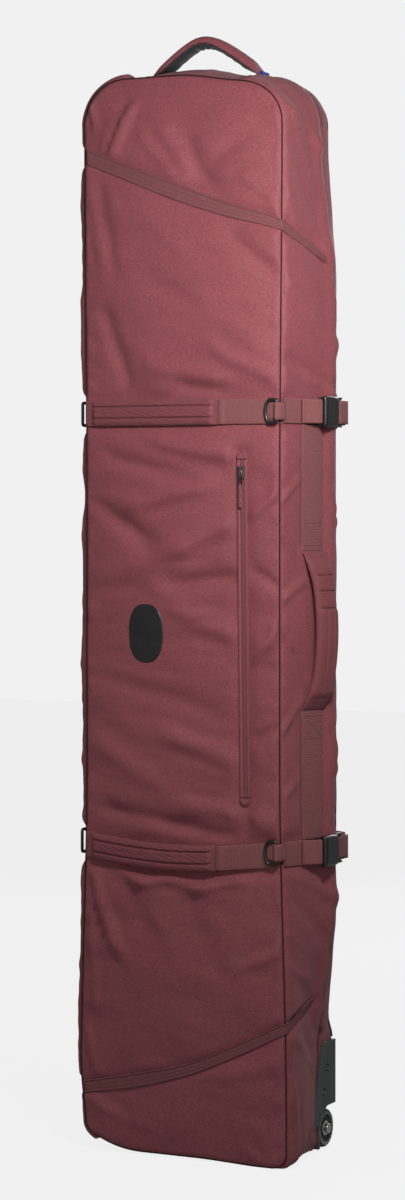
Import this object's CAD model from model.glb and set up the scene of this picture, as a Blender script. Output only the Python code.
# A tall padded snowboard bag that stands on two corner wheels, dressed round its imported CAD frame.
# Sizes are in millimetres until a mesh is made. +X is the bag's right, +Y its back, +Z up.
import math

import bmesh
import bpy
import numpy as np
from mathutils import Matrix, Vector, noise
from mathutils.bvhtree import BVHTree


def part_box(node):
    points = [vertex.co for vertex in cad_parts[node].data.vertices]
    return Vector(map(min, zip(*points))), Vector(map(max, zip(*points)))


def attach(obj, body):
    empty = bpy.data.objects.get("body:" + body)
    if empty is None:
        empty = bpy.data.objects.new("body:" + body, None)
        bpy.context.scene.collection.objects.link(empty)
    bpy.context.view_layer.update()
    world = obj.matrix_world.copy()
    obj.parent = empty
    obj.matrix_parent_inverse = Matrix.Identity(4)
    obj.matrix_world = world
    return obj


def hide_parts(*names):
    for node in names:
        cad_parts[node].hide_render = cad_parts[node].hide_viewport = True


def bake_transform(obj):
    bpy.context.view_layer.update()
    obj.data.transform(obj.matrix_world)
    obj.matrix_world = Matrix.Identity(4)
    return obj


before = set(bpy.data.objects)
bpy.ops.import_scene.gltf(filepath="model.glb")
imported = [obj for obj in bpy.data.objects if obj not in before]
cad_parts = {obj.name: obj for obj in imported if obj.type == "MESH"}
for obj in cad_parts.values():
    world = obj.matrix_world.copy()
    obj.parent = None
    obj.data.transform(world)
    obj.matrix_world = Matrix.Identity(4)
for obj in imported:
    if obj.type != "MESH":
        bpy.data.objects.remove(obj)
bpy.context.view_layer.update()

SCENE = bpy.context.scene
MM = 0.001
RIGHTWARD, FORWARD, BACKWARD, UPWARD = np.array([(1, 0, 0), (0, -1, 0), (0, 1, 0), (0, 0, 1)])

# ---------- the sizes that the shell shares with the CAD solids ----------

HEIGHT = 1662
FRONT = -92.5
BACK = 92.5
DEPTH = BACK - FRONT
GAP = 0.3
TOP_RADIUS = 70
FOOT_RADIUS = 22
ZIP_Y = 40
LID_RIM = 39.2
TRAY_RIM = 40.8
TAPE_WIDTH = 14
TAPE = 1.2
ZIP_FOOT = 186
WEBBING = 2
STRAP_HALF = 19
UPPER_Z = 1145
LOWER_Z = 474
MIDDLE = {"upper": UPPER_Z, "lower": LOWER_Z}
PAD_LEFT = -165
PAD_END = 64
PAD_HALF = 20
PAD_LINES = (9.6, -8.4)
SEAM_X = 164
BUCKLE_X = 198.5
WELL_SIDE = 127
WELL_TOP = 86
OVER_WHEELS = 172
POCKET_FOOT, POCKET_TOP = 545, 1085
HAUL_Y0, HAUL_Y1, HAUL_LOW, HAUL_HIGH = -48, -3, 690, 933

# ---------- curves and the outer shape ----------


def smooth(low, high, value):
    t = np.clip((np.asarray(value, float) - low) / (high - low), 0, 1)
    return t * t * (3 - 2 * t)


def mix(a, b, t):
    return a + (b - a) * t


def hump(value, middle, width):
    """1 at the middle, and almost nothing two widths away from it."""
    return np.exp(-(((value - middle) / width) ** 2))


def xyz(x, y, z):
    """Points from their coordinates, each a number or an array."""
    return np.stack(np.broadcast_arrays(x, y, z), -1)


def half_width(y, z):
    """Half-width of the bag at depth y and height z, without the rounded corners."""
    front = 166 + 4 * smooth(1000, 1600, z) + 11 * (1 - smooth(80, 600, z))
    base = mix(front, 169, smooth(-60, 8, y))
    swell = smooth(OVER_WHEELS, 400, z) * (1 - smooth(HEIGHT - 330, HEIGHT - 80, z))
    t = np.clip((np.asarray(y, float) - FRONT) / DEPTH, 0, 1)
    rounded = np.maximum(0, np.sin(np.pi * t**1.2)) ** 1.2
    recess = 3.5 * hump(y, ZIP_Y, 12)
    return base + swell * (8 * t + 23 * rounded - recess)


def outline_half(y, z):
    """The half-width with the rounded corners seen from the front."""
    half = half_width(y, z)
    top = np.clip(z - (HEIGHT - TOP_RADIUS), 0, TOP_RADIUS)
    foot = np.clip(FOOT_RADIUS - z, 0, FOOT_RADIUS)
    half = half - (TOP_RADIUS - np.sqrt(TOP_RADIUS**2 - top**2))
    return half - (FOOT_RADIUS - np.sqrt(FOOT_RADIUS**2 - foot**2))


def front_face(x, z):
    """The front's y, a little fuller in the middle."""
    across = 1 - np.minimum(1, (x / half_width(FRONT, z)) ** 2)
    return FRONT - 6 * across * smooth(0, 150, z) * (1 - smooth(HEIGHT - 150, HEIGHT, z))


def top_crown(x, y):
    """How far the top stands above its edges."""
    across = np.maximum(0, 1 - (x / 100) ** 2)
    return 16 * across * across * (1 - (y / BACK) ** 2)


def lower_sag(s):
    """0 at the ends of the lower front strap and 1 where it hangs lowest."""
    return np.sin(np.pi * np.clip((s + 166) / 330, 0, 1))


def strap_height(which, s):
    """The height of a front strap's middle line."""
    return UPPER_Z - 1 + 0 * s if which == "upper" else LOWER_Z + 1 - 12 * lower_sag(s)


def strap_stand(which, s):
    """How far a front strap stands off the front."""
    return 0 * s if which == "upper" else 7 * lower_sag(s)


# ---------- making meshes ----------

BURGUNDY = (0.203, 0.0525, 0.062)
MATERIALS = {}


def make_mesh(name, points, faces, kinds=None):
    """A mesh from points in millimetres. kinds gives each face its material's place in the list."""
    mesh = bpy.data.meshes.new(name)
    mesh.from_pydata((np.asarray(points, float).reshape(-1, 3) * MM).tolist(), [], faces)
    if kinds is not None:
        mesh.polygons.foreach_set("material_index", np.asarray(kinds, np.int32))
    mesh.update()
    return mesh


def vertex_places(mesh):
    places = np.zeros(len(mesh.vertices) * 3)
    mesh.vertices.foreach_get("co", places)
    return places.reshape(-1, 3)


def move_vertices(mesh, places):
    mesh.vertices.foreach_set("co", places.ravel())
    mesh.update()


def vertex_normals(mesh):
    normals = np.zeros(len(mesh.vertices) * 3, np.float32)
    mesh.vertex_normals.foreach_get("vector", normals)
    return normals.reshape(-1, 3).astype(float)


def in_scene(name, data):
    obj = bpy.data.objects.new(name, data)
    SCENE.collection.objects.link(obj)
    return obj


def evaluated(holder):
    """The holder's mesh with its modifiers applied; the holder itself is removed."""
    graph = bpy.context.evaluated_depsgraph_get()
    mesh = bpy.data.meshes.new_from_object(holder.evaluated_get(graph))
    bpy.data.objects.remove(holder)
    return mesh


def weighted(holder, name, weights, steps):
    """A vertex group with each weight rounded to one of the steps from 0 to 1."""
    group = holder.vertex_groups.new(name=name)
    level = np.round(weights * steps).astype(int)
    for step in range(1, steps + 1):
        group.add(np.flatnonzero(level == step).tolist(), step / steps, "REPLACE")
    return group.name


def face_outwards(mesh):
    bm = bmesh.new()
    bm.from_mesh(mesh)
    bmesh.ops.recalc_face_normals(bm, faces=bm.faces)
    bm.to_mesh(mesh)
    bm.free()


def add_materials(mesh, names):
    for name in [names] if isinstance(names, str) else names:
        mesh.materials.append(MATERIALS[name])


def piece(name, mesh, body, materials, replaces=(), slot=None):
    """Puts a mesh in the scene as a piece that rides on a body."""
    obj = in_scene(name, mesh)
    if not mesh.materials:
        add_materials(mesh, materials)
    mesh.polygons.foreach_set("use_smooth", [True] * len(mesh.polygons))
    if body:
        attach(obj, body)
    if replaces:
        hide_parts(*replaces)
    return obj


def solid(name, points, faces, body, materials, kinds=None, **more):
    mesh = make_mesh(name, points, faces, kinds)
    face_outwards(mesh)
    return piece(name, mesh, body, materials, **more)


def grid_faces(rows, cols, start=0, close_rows=False, close_cols=False):
    faces = []
    for j in range(rows if close_rows else rows - 1):
        below = start + j * cols
        above = start + (j + 1) % rows * cols
        for i in range(cols if close_cols else cols - 1):
            k = (i + 1) % cols
            faces.append((below + i, below + k, above + k, above + i))
    return faces


def slab(outer, inner):
    """Points and faces of a closed slab between two grids of points of the same shape."""
    rows, cols = outer.shape[:2]
    size = rows * cols
    points = np.concatenate([outer.reshape(-1, 3), inner.reshape(-1, 3)])
    faces = grid_faces(rows, cols) + grid_faces(rows, cols, size)
    rim = [j * cols for j in range(rows)] + [(rows - 1) * cols + i for i in range(1, cols)]
    rim += [j * cols + cols - 1 for j in range(rows - 2, -1, -1)] + list(range(cols - 2, 0, -1))
    for a, b in zip(rim, rim[1:] + rim[:1]):
        faces.append((a, b, size + b, size + a))
    return points, faces


def merged(parts):
    """Joins several (points, faces) into one."""
    points, faces, start = [], [], 0
    for p, f in parts:
        p = np.asarray(p, float).reshape(-1, 3)
        points.append(p)
        faces += [tuple(i + start for i in face) for face in f]
        start += len(p)
    return np.concatenate(points), faces


def unit(v):
    v = np.asarray(v, float)
    return v / np.maximum(np.linalg.norm(v, axis=-1, keepdims=True), 1e-9)


def end_faces(rows, cols):
    """Faces that close both ends of a grid that is joined round."""
    return [tuple(range(cols))[::-1], tuple((rows - 1) * cols + i for i in range(cols))]


def distances(path):
    """How far along a path each of its points is."""
    return np.concatenate([[0], np.cumsum(np.linalg.norm(np.diff(path, axis=0), axis=1))])


def sampled(values, run, places):
    """Rows of values that are known along a run, read off at other places."""
    return np.stack([np.interp(places, run, column) for column in np.transpose(values)], -1)


def tube(path, radius, sides=8, closed=False, side_hint=(0, 0, 1)):
    """A round tube along a path; radius is a number or one for each point."""
    path = np.asarray(path, float)
    count = len(path)
    if closed:
        along = unit(np.roll(path, -1, 0) - np.roll(path, 1, 0))
    else:
        along = unit(np.gradient(path, axis=0))
    side = unit(np.cross(along, np.broadcast_to(side_hint, path.shape)))
    up = np.cross(side, along)
    turn = np.linspace(0, 2 * np.pi, sides, endpoint=False)
    r = np.broadcast_to(radius, (count,))[:, None, None]
    outward = np.cos(turn)[:, None] * side[:, None] + np.sin(turn)[:, None] * up[:, None]
    rings = path[:, None] + r * outward
    faces = grid_faces(count, sides, close_rows=closed, close_cols=True)
    if not closed:
        faces += end_faces(count, sides)
    return rings.reshape(-1, 3), faces


def bevelled(mesh, width, segments=3):
    """The mesh with its coplanar faces joined and its sharp edges rounded."""
    bm = bmesh.new()
    bm.from_mesh(mesh)
    bmesh.ops.remove_doubles(bm, verts=bm.verts, dist=1e-5)
    bmesh.ops.dissolve_limit(bm, angle_limit=0.02, verts=bm.verts, edges=bm.edges)
    made = bpy.data.meshes.new(mesh.name + "_round")
    bm.to_mesh(made)
    bm.free()
    holder = in_scene("holder", made)
    rounder = holder.modifiers.new("round", "BEVEL")
    rounder.width = width * MM
    rounder.segments = segments
    rounder.limit_method = "ANGLE"
    rounder.angle_limit = math.radians(35)
    rounder.use_clamp_overlap = True
    rounder.harden_normals = True
    made.polygons.foreach_set("use_smooth", [True] * len(made.polygons))
    return evaluated(holder)


def refined(node, body, material, width, slot, segments=3, extra=()):
    """A CAD solid's own shape with moulded, rounded edges, and any extra parts on it."""
    name = node + "_moulded"
    mesh = bevelled(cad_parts[node].data, width, segments)
    if extra:
        bm = bmesh.new()
        bm.from_mesh(mesh)
        points, faces = merged(extra)
        added = make_mesh("extra", points, faces)
        face_outwards(added)
        bm.from_mesh(added)
        bm.to_mesh(mesh)
        bm.free()
    mesh.materials.clear()
    return piece(name, mesh, body, material, replaces=[node], slot=slot)


def seeded(x, y, z):
    """Smooth noise from about -1 to 1 at each point."""
    spots = xyz(x, y, z).reshape(-1, 3)
    values = np.array([noise.noise(Vector(p)) for p in spots])
    return values.reshape(np.broadcast(x, y, z).shape)


# ---------- materials ----------


class Nodes:
    """Short ways of adding and linking a material's nodes."""

    def __init__(self, name, colour, roughness, **sockets):
        self.material = bpy.data.materials.new(name)
        self.material.use_nodes = True
        self.tree = self.material.node_tree
        self.shader = self.tree.nodes["Principled BSDF"]
        self.shader.inputs["Base Color"].default_value = (*colour, 1)
        self.shader.inputs["Roughness"].default_value = roughness
        for socket, value in sockets.items():
            self.shader.inputs[socket.replace("_", " ")].default_value = value
        self.place = self.add("ShaderNodeTexCoord").outputs["Object"]
        MATERIALS[name] = self.material

    def add(self, kind, inputs=None, **settings):
        node = self.tree.nodes.new(kind)
        for key, value in settings.items():
            setattr(node, key, value)
        for key, value in (inputs or {}).items():
            if isinstance(value, bpy.types.NodeSocket):
                self.tree.links.new(value, node.inputs[key])
            else:
                node.inputs[key].default_value = value
        return node

    def noise(self, scale, detail=2.0, stretch=(1, 1, 1)):
        spot = self.add("ShaderNodeMapping", {0: self.place, 3: stretch}).outputs[0]
        return self.add("ShaderNodeTexNoise", {"Vector": spot, "Scale": scale, "Detail": detail}).outputs[0]

    def wave(self, pitch, direction):
        """Parallel lines, pitch in metres."""
        lines = {"Vector": self.place, "Scale": math.tau / 20 / pitch}
        return self.add("ShaderNodeTexWave", lines, bands_direction=direction).outputs["Fac"]

    def maths(self, operation, a, b):
        return self.add("ShaderNodeMath", {0: a, 1: b}, operation=operation).outputs[0]

    def span(self, value, low, high):
        """A value from 0 to 1 spread from low to high."""
        return self.add("ShaderNodeMapRange", {0: value, 1: 0.25, 2: 0.75, 3: low, 4: high}).outputs[0]

    def shade(self, colour, factors):
        """The colour multiplied by each factor."""
        made = None
        for factor in factors:
            made = factor if made is None else self.maths("MULTIPLY", made, factor)
        grey = self.add("ShaderNodeCombineColor", {0: made, 1: made, 2: made}).outputs[0]
        sockets = {0: 1.0, 6: (*colour, 1), 7: grey}
        tinted = self.add("ShaderNodeMix", sockets, data_type="RGBA", blend_type="MULTIPLY")
        self.link("Base Color", tinted.outputs[2])

    def bump(self, height, distance, strength=1.0, under=None):
        inputs = {"Height": height, "Distance": distance, "Strength": strength}
        if under is not None:
            inputs["Normal"] = under
        return self.add("ShaderNodeBump", inputs).outputs[0]

    def link(self, socket, value):
        self.tree.links.new(value, self.shader.inputs[socket])


def woven(name, colour, roughness, pitch, slub, relief, sheen=0.12, tint=(1, 0.62, 0.66)):
    """Woven polyester: crossing yarns, uneven slubs along the weft and slow shifts in tone."""
    m = Nodes(name, colour, roughness, Sheen_Weight=sheen, Sheen_Roughness=0.5, Specular_IOR_Level=0.2)
    m.shader.inputs["Sheen Tint"].default_value = (*tint, 1)
    slubs = m.noise(330, 3.0, (1, 1, 2.2))
    yarns = m.noise(520, 2.0, (3.5, 3.5, 1))
    patches = m.noise(7, 3.0)
    uneven = [m.span(slubs, 1 - 1.6 * slub, 1 + 1.6 * slub), m.span(yarns, 1 - slub, 1 + slub)]
    m.shade(colour, uneven + [m.span(patches, 0.96, 1.04)])
    m.link("Roughness", m.span(patches, roughness - 0.06, roughness + 0.06))
    weave = m.maths("MULTIPLY", m.wave(pitch, "Z"), m.wave(pitch * 0.5, "DIAGONAL"))
    fine = m.bump(weave, 0.0002 * relief, 0.5)
    m.link("Normal", m.bump(slubs, 0.0005 * relief, 0.55, fine))


def plastic(name, colour, roughness, grain=0.0001, coat=0.0):
    """Moulded plastic: a faint grain, scuffs that change the gloss, and slow shifts in tone."""
    m = Nodes(name, colour, roughness, Coat_Weight=coat, Coat_Roughness=0.2)
    scuffs = m.noise(60, 5.0, (1, 1, 0.25))
    pores = m.noise(1600, 2.0)
    m.shade(colour, [m.span(m.noise(25, 3.0), 0.85, 1.15)])
    m.link("Roughness", m.span(scuffs, roughness - 0.08, roughness + 0.12))
    m.link("Normal", m.bump(pores, grain, 0.5))


def metal(name, colour, smoothest):
    """Brushed metal with a patchy shine."""
    m = Nodes(name, colour, smoothest, Metallic=1.0)
    brushing = m.noise(900, 2.0, (1, 8, 1))
    m.link("Roughness", m.span(brushing, smoothest, smoothest + 0.2))
    m.shade(colour, [m.span(m.noise(120, 3.0), 0.85, 1.05)])
    m.link("Normal", m.bump(brushing, 0.00003, 0.4))


woven("shell_fabric", BURGUNDY, 0.54, 0.0007, 0.19, 1.2)
woven("pad_fabric", (0.158, 0.042, 0.049), 0.62, 0.0007, 0.1, 0.9)
woven("webbing", (0.176, 0.06, 0.062), 0.76, 0.0009, 0.1, 1.3, 0.1)
woven("band_tape", (0.152, 0.05, 0.052), 0.78, 0.0008, 0.1, 1.1, 0.06)
woven("zip_tape", (0.15, 0.044, 0.052), 0.78, 0.0008, 0.08, 1.0, 0.08)
woven("welt", (0.03, 0.007, 0.009), 0.9, 0.0008, 0.08, 0.8, 0.03)
woven("thread", (0.16, 0.05, 0.056), 0.6, 0.0004, 0.05, 0.5, 0.2)
woven("black_fabric", (0.018, 0.018, 0.02), 0.75, 0.0011, 0.2, 1.6, 0.15, (1, 1, 1))
woven("lining", (0.035, 0.034, 0.037), 0.7, 0.0006, 0.12, 0.7, 0.2, (1, 1, 1))
woven("blue_tab", (0.012, 0.022, 0.28), 0.6, 0.0006, 0.08, 0.8, 0.2, (0.8, 0.85, 1))
plastic("buckle_plastic", (0.006, 0.0062, 0.006), 0.3, 0.00004, 0.15)
plastic("coil_plastic", (0.09, 0.032, 0.035), 0.6, 0.00003)
plastic("housing_plastic", (0.045, 0.054, 0.049), 0.5, 0.00012)
plastic("wheel_rubber", (0.022, 0.022, 0.022), 0.55, 0.00008)
plastic("wheel_mark", (0.3, 0.31, 0.31), 0.55, 0.00008)
plastic("board", (0.04, 0.04, 0.042), 0.55, 0.00012)
plastic("emblem_print", (0.0105, 0.0105, 0.011), 0.34, 0.00012, 0.1)
metal("steel", (0.62, 0.62, 0.6), 0.2)
metal("dark_steel", (0.16, 0.13, 0.13), 0.3)

# ---------- camera and light ----------

VIEW_TURN = math.radians(26.5)
camera = in_scene("camera", bpy.data.cameras.new("camera"))
camera.location = (2.081, -4.195, 1.010)
camera.rotation_euler = (math.pi / 2, 0, VIEW_TURN)
camera.data.lens = 90
camera.data.sensor_width = 36
camera.data.shift_y = -1 / 12
camera.data.clip_end = 60
SCENE.camera = camera
SCENE.view_settings.view_transform = "Standard"

# How bright the backdrop and the floor look to the camera, and how much light each casts.
BACKDROP, SKY_LIGHT = 0.88, 0.24
FLOOR_GLOW, FLOOR_LIGHT = 0.925, 0.2


def area_light(name, place, target, size, power):
    """A rectangle of white light that faces its target."""
    light = in_scene(name, bpy.data.lights.new(name, "AREA"))
    light.data.shape = "RECTANGLE"
    light.data.size, light.data.size_y = size
    light.data.energy = power
    light.location = place
    light.rotation_euler = (Vector(target) - Vector(place)).to_track_quat("-Z", "Y").to_euler()
    light.visible_camera = False


area_light("key", (0.68, -0.8, 1.5), (0, -0.09, 1.25), (0.22, 0.22), 15.5)
area_light("front_fill", (0.7, -3.0, 0.8), (0, 0, 0.4), (1.4, 1.0), 11)
area_light("left_fill", (-2.2, 0.4, 1.5), (0, 0, 0.9), (0.5, 1.6), 1.5)
area_light("back_light", (-0.6, 2.8, 2.0), (0, 0, 0.9), (1.4, 1.4), 26)


def camera_sees(tree, seen, lit):
    """A brightness that is seen where the camera looks straight at it, and lit for the light it casts."""
    ray = tree.nodes.new("ShaderNodeLightPath").outputs["Is Camera Ray"]
    choice = tree.nodes.new("ShaderNodeMapRange")
    tree.links.new(ray, choice.inputs[0])
    choice.inputs[3].default_value = lit
    choice.inputs[4].default_value = seen
    return choice.outputs[0]


world = bpy.data.worlds.new("studio")
world.use_nodes = True
SCENE.world = world
sky = world.node_tree.nodes["Background"]
sky.inputs["Color"].default_value = (1, 1, 1, 1)
world.node_tree.links.new(camera_sees(world.node_tree, BACKDROP, SKY_LIGHT), sky.inputs["Strength"])

floor_material = bpy.data.materials.new("floor")
floor_material.use_nodes = True
tree = floor_material.node_tree
tree.nodes.remove(tree.nodes["Principled BSDF"])
glow = tree.nodes.new("ShaderNodeEmission")
matt = tree.nodes.new("ShaderNodeBsdfDiffuse")
both = tree.nodes.new("ShaderNodeMixShader")
glow.inputs["Color"].default_value = (1, 1, 1, 1)
matt.inputs["Color"].default_value = (0.8, 0.8, 0.8, 1)
both.inputs[0].default_value = 0.1
tree.links.new(camera_sees(tree, FLOOR_GLOW, FLOOR_LIGHT), glow.inputs["Strength"])
tree.links.new(glow.outputs[0], both.inputs[1])
tree.links.new(matt.outputs[0], both.inputs[2])
tree.links.new(both.outputs[0], tree.nodes["Material Output"].inputs["Surface"])
floor_points = [(x * 9000, y * 9000, -0.5) for x, y in ((-1, -1), (1, -1), (1, 1), (-1, 1))]
floor = in_scene("floor", make_mesh("floor", floor_points, [(0, 1, 2, 3)]))
floor.data.materials.append(floor_material)

# ---------- how the fabric lies ----------

# Folds on the front: x and z of both ends, half-width, height, and how much one flank is steeper.
FRONT_FOLDS = [
    (-90, 1610, -122, 1541, 8, 2.6, 1.3), (-129, 1575, -138, 1545, 7, 1.7, 1.0),
    (-158, 1618, -151, 1590, 7, 1.6, 1), (-60, 1560, -20, 1515, 10, 1.6, 0.8),
    (-20, 1570, 14, 1522, 12, 1.4, -0.8), (18, 1546, 24, 1530, 16, -2.4, 0.2),
    (36, 1504, 60, 1490, 12, -2.2, 0.1), (92, 1560, 60, 1530, 18, -1.6, 0.3),
    (120, 1490, 146, 1470, 10, 1.6, 0.5), (96, 1400, 140, 1360, 15, -2.4, 0.6),
    (-60, 1440, -10, 1400, 22, 1.8, 0.6), (-140, 1480, -120, 1380, 12, -2.0, 0.7),
    (40, 1300, 120, 1250, 20, 1.8, 0.7), (-30, 1330, 60, 1290, 18, -2.0, 0.5),
    (-130, 1290, -100, 1210, 14, -2.6, 0.6), (20, 1180, 64, 1176, 12, -3.0, 0.2),
    (-40, 1210, 50, 1196, 16, 2.2, 0.6), (70, 1230, 140, 1200, 14, 2.0, 0.8),
    (-20, 1090, 70, 1076, 13, 2.2, 0.7), (-110, 1070, -30, 1050, 16, -2.4, 0.6),
    (-140, 1000, -70, 950, 18, -2.6, 0.6), (-60, 1000, 20, 1020, 16, 2.4, 0.8),
    (20, 940, 92, 968, 18, 2.6, 0.9), (-120, 900, -10, 930, 20, 2.0, -0.7),
    (10, 880, 90, 890, 16, -2.8, 0.5), (-10, 840, 84, 800, 20, 2.4, 0.7),
    (-110, 720, 0, 700, 22, -2.2, 0.6), (120, 980, 156, 1010, 9, 2.4, 1.0),
    (124, 900, 158, 880, 10, -2.0, 0.8), (122, 760, 156, 800, 10, 2.2, 0.9),
    (120, 640, 158, 660, 10, -2.0, 0.8), (0, 640, 90, 610, 18, 2.2, 0.6),
    (-130, 620, -40, 570, 20, 2.0, 0.7), (30, 540, 120, 526, 14, 2.0, 0.5),
    (-110, 528, 10, 512, 13, -2.6, 0.4), (-10, 505, 80, 497, 12, -2.4, 0.2),
    (-100, 436, -64, 420, 10, 2.2, 0.8), (-64, 420, -20, 424, 10, 2.3, 0.8),
    (-20, 430, 34, 414, 11, 2.5, 0.8), (34, 414, 92, 428, 11, 2.4, 0.8),
    (-150, 420, -120, 330, 8, 1.9, 1.2), (-136, 380, -96, 300, 9, 1.6, 1.0),
    (-158, 350, -150, 230, 7, 1.6, 1.2), (-60, 400, -20, 330, 20, 1.4, 0.6),
    (20, 380, 60, 300, 22, -1.2, 0.5), (112, 300, 158, 320, 12, 1.6, 0.8),
    (-164, 180, -150, 130, 7, 1.5, 1.1), (80, 130, 150, 150, 16, 1.4, 0.6),
    (110, 24, 140, 4, 6, 1.4, 1.0), (128, 60, 150, 14, 6, 1.3, 1.0), (-140, 60, -60, 40, 14, 1.4, 0.5),
]
# Folds on the right side, in y and z.
SIDE_FOLDS = [
    (-70, 1600, -20, 1500, 8, 3.6, 1.0), (-40, 1640, 10, 1560, 9, 3.0, 0.9),
    (-60, 1500, -10, 1440, 10, -2.6, 0.8), (-20, 1400, 20, 1350, 12, -2.2, 0.8),
    (-80, 1330, 10, 1250, 12, 2.4, 1.0), (-60, 1215, 20, 1180, 10, -3.0, 0.7),
    (-20, 1190, 24, 1172, 8, 2.2, 0.8), (-84, 1100, -52, 1070, 7, 2.2, 1.0),
    (-86, 1010, -52, 1040, 7, 2.4, 1.0), (-84, 940, -50, 900, 7, -2.2, 0.9),
    (-86, 860, -50, 880, 8, 2.2, 1.0), (-84, 790, -50, 750, 8, -2.0, 0.9),
    (-86, 660, -52, 700, 8, 2.2, 0.9), (-84, 560, -50, 590, 8, 1.8, 0.9),
    (-70, 440, 10, 400, 12, 2.2, 0.8), (-50, 380, 20, 320, 14, -1.8, 0.7),
    (-84, 300, -40, 280, 10, 1.6, 0.8), (-70, 190, -10, 150, 12, 1.6, 0.7),
    (-84, 120, -66, 20, 5, 1.8, 1.1), (-60, 100, -46, 20, 6, -1.4, 1.0), (0, 1060, 20, 980, 6, 2.0, 1.0),
    (0, 900, 18, 800, 6, 1.8, 1.0), (2, 700, 20, 600, 6, 1.8, 1.0), (-80, 1460, -50, 1400, 9, 1.6, 0.9),
]


def fold_heights(folds, a, b):
    """The height of all the folds together at places (a, b) of a flat panel."""
    total = np.zeros(np.broadcast(a, b).shape)
    for a0, b0, a1, b1, width, height, lean in folds:
        run = np.array([a1 - a0, b1 - b0], float)
        length = np.hypot(*run)
        run /= length
        along = (a - a0) * run[0] + (b - b0) * run[1]
        off = (a - a0) * -run[1] + (b - b0) * run[0]
        beyond = np.maximum(0, np.maximum(-along, along - length))
        fade = hump(beyond, 0, 2.2 * width)
        k = off / (0.85 * width * (1 + beyond / (3 * width)))
        total += height * fade * np.exp(-k * k) * (1 + lean * k)
    return total


UPPER_BAND = (
    [(-166, 1556), (-22, 1501), (80, 1463), (168, 1434), (280, 1378)],
    [(-166, 1532), (-110, 1510), (-5, 1468), (75, 1442), (168, 1417), (280, 1368)],
)
LOWER_BAND = (
    [(-170, 106), (-78, 126), (21, 151), (118, 194), (180, 222), (285, 250)],
    [(-170, 86), (-78, 103), (21, 132), (118, 175), (180, 206), (285, 244)],
)


def through(points, s):
    """The height at s of a smooth (centripetal) curve through the points, as the CAD bands follow."""
    p = np.array(points, float)
    p = np.concatenate([2 * p[:1] - p[1:2], p, 2 * p[-1:] - p[-2:-1]])
    run = []
    for a, b, c, d in zip(p, p[1:], p[2:], p[3:]):
        knots = [np.hypot(*(v - u)) ** 0.5 for u, v in ((a, b), (b, c), (c, d))]
        t0, t1, t2, t3 = np.cumsum([0] + knots)
        t = np.linspace(t1, t2, 24)[:, None]
        ab = (t1 - t) / (t1 - t0) * a + (t - t0) / (t1 - t0) * b
        bc = (t2 - t) / (t2 - t1) * b + (t - t1) / (t2 - t1) * c
        cd = (t3 - t) / (t3 - t2) * c + (t - t2) / (t3 - t2) * d
        abc = (t2 - t) / (t2 - t0) * ab + (t - t0) / (t2 - t0) * bc
        bcd = (t3 - t) / (t3 - t1) * bc + (t - t1) / (t3 - t1) * cd
        run.append((t2 - t) / (t2 - t1) * abc + (t - t1) / (t2 - t1) * bcd)
    run = np.concatenate(run)
    return np.interp(s, run[:, 0], run[:, 1])


def edge_distance(x, z):
    """How far a place on the front is from the seam round it."""
    half = half_width(FRONT, z)
    x = np.abs(x)
    straight = np.minimum(np.minimum(half - x, HEIGHT - z), z)
    for radius, centre, up in ((TOP_RADIUS, HEIGHT - TOP_RADIUS, 1), (FOOT_RADIUS, FOOT_RADIUS, -1)):
        dx, dz = x - (half - radius), (z - centre) * up
        arc = radius - np.hypot(dx, dz)
        straight = np.where((dx > 0) & (dz > 0), arc, straight)
    return np.maximum(0, straight)


def outside(value, low, high):
    """How far a value is outside a range."""
    return np.maximum(0, np.maximum(low - value, value - high))


SEAM_HOLD = 4.2


def looseness(s, z, edge):
    """0 where the front or side is sewn or strapped down and 1 where it is free.
    s is the distance round from the middle of the front, and edge the distance from the seam."""
    free = 1 - hump(edge, 0, SEAM_HOLD)
    for top, bottom in (UPPER_BAND, LOWER_BAND):
        band_run = 1 - smooth(262, 284, s)
        away = outside(z, through(bottom, s) + 1, through(top, s) - 1)
        free = free * (1 - band_run * hump(away, 0, 5))
    for which in ("upper", "lower"):
        height = strap_height(which, np.minimum(s, SEAM_X))
        strap_run = 1 - smooth(240, 270, s)
        free = free * (1 - strap_run * hump(outside(z, height - STRAP_HALF, height + STRAP_HALF), 0, 12))
    return free


def gathers(edge, free):
    """How strongly the cloth is gathered: most a little way in from the seam."""
    return hump(edge, 0, 15) * (1 - hump(edge, 0, 4)) * free**0.5


def drawn_in(edge, free):
    """How far the cloth is drawn in at the seam and where it is sewn down."""
    return 0.8 * hump(edge, 0, 1.7) + 0.5 * (1 - free)


def front_relief(x, z):
    """How far the stuffed front stands out from the plain CAD face, and how free the cloth is there."""
    edge = edge_distance(x, z)
    free = looseness(x, z, edge)
    pocket = 107 - 0.011 * (z - 815)
    off_pocket = np.hypot(outside(x, pocket - 9, pocket + 9), outside(z, POCKET_FOOT, POCKET_TOP))
    free = free * (1 - hump(off_pocket, 0, 7))
    under_pull = np.hypot(outside(x, pocket - 5, pocket + 5), outside(z, 470, 560))
    free = free * (1 - 0.92 * hump(under_pull, 0, 9))
    off_emblem = np.hypot(outside(x, -87, -25), outside(z, 759, 851))
    calm = 1 - 0.75 * hump(off_emblem, 0, 14)
    broad = 2.6 * seeded(x / 100, 0.3, z / 58) + 1.5 * seeded((x - 0.3 * z) / 74, 4.1, (z + 0.3 * x) / 34)
    fine = 0.55 * seeded(x / 30, 8.2, z / 17)
    height = free * (3.2 + calm * (2.7 * fold_heights(FRONT_FOLDS, x, z) + 1.5 * broad + 1.9 * fine))
    height += 0.9 * np.sin(z / 5.2 + 3 * seeded(x / 60, 2.2, z / 45)) * gathers(edge, free)
    height -= drawn_in(edge, free)
    for which in ("upper", "lower"):
        level = strap_height(which, np.minimum(x, SEAM_X))
        height -= 1.6 * hump(z, level, 40) * smooth(0, 20, edge)
    return height, free


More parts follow.
